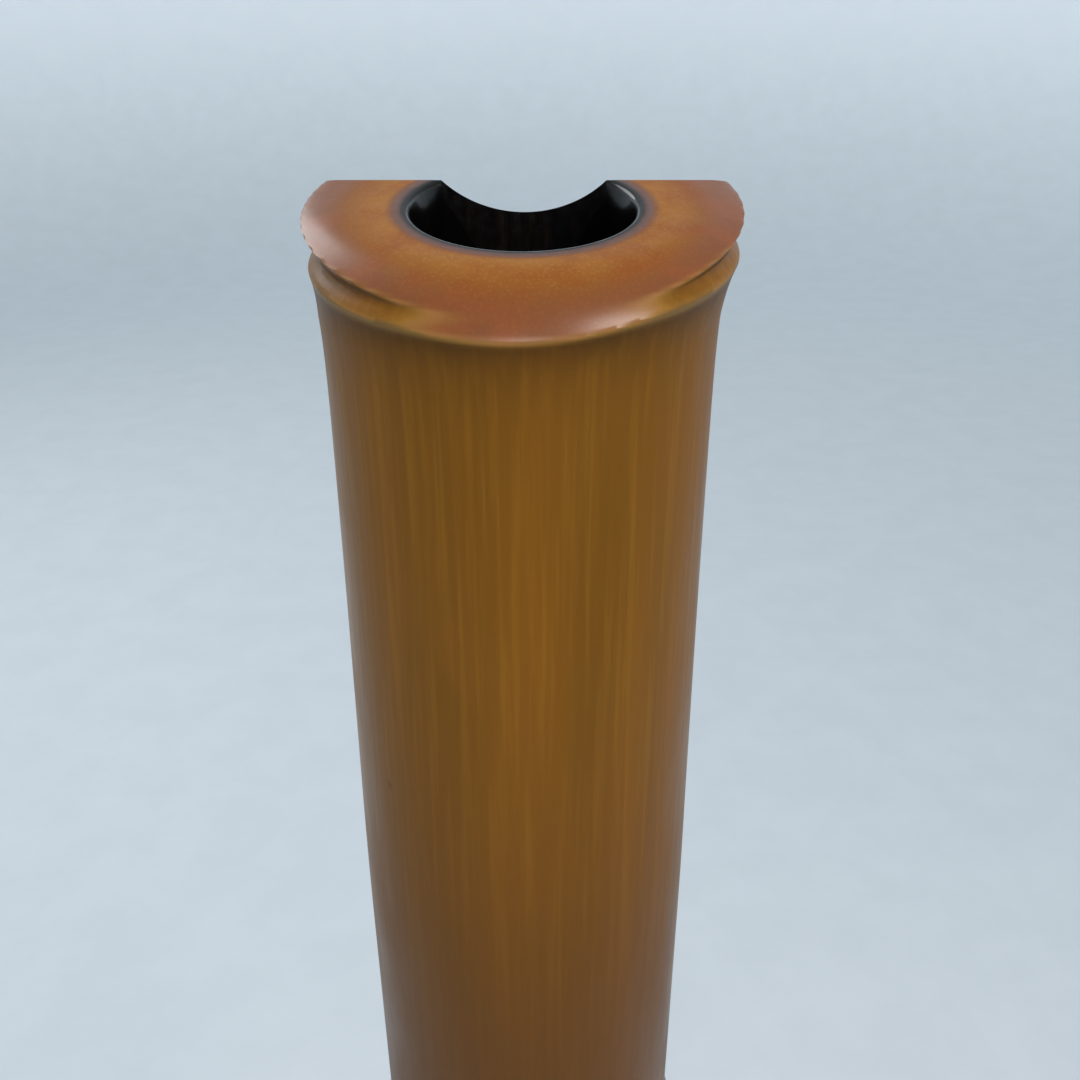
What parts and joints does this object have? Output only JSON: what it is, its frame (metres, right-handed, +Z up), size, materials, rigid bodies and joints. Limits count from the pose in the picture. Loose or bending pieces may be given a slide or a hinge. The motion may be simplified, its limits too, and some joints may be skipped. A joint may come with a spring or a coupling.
{
  "type": "shakuhachi",
  "caption": "End-blown bamboo flute in two halves that twist and pull apart at a middle joint, with a lacquered bore, horn blowing edge, finger holes and a flared root end.",
  "frame": {"origin": "centre of the bore at the flat face of the root end, on which the flute stands", "axes": "+Z up the bore from the root end to the blowing end, +Y towards the finger holes, -Y towards the player's chin"},
  "size_m": [0.0578, 0.0589, 0.545],
  "materials": {
    "bamboo": "oiled and polished satin bamboo",
    "bore_lacquer": "black gloss lacquer",
    "horn": "polished black horn",
    "socket_lacquer": "dark red-brown hard lacquer",
    "tenon_bamboo": "lacquered bamboo",
    "thread": "waxed hemp thread",
    "silver": "worn satin silver",
    "rattan": "lacquered split rattan"
  },
  "bodies": {
    "lower_half": {"lower_culm": "bamboo", "lower_bore_lining": "bore_lacquer", "tenon_tube": "tenon_bamboo", "lower_joint_ring": "silver", "lower_joint_binding": "rattan"},
    "joint_fit": {"tenon_thread": "thread"},
    "upper_half": {"upper_culm": "bamboo", "upper_bore_lining": "bore_lacquer", "blowing_edge_inlay": "horn", "socket_sleeve": "socket_lacquer", "upper_joint_ring": "silver", "upper_joint_binding": "rattan"}
  },
  "joints": [
    {"name": "joint_twist", "type": "hinge", "parent": "lower_half", "child": "joint_fit", "pos_m": [0, 0, 0.25], "axis": [0, 0, 1], "continuous": true},
    {"name": "joint_pull", "type": "slide", "parent": "joint_fit", "child": "upper_half", "axis": [0, 0, 1], "range_m": [0, 0.03]}
  ]
}
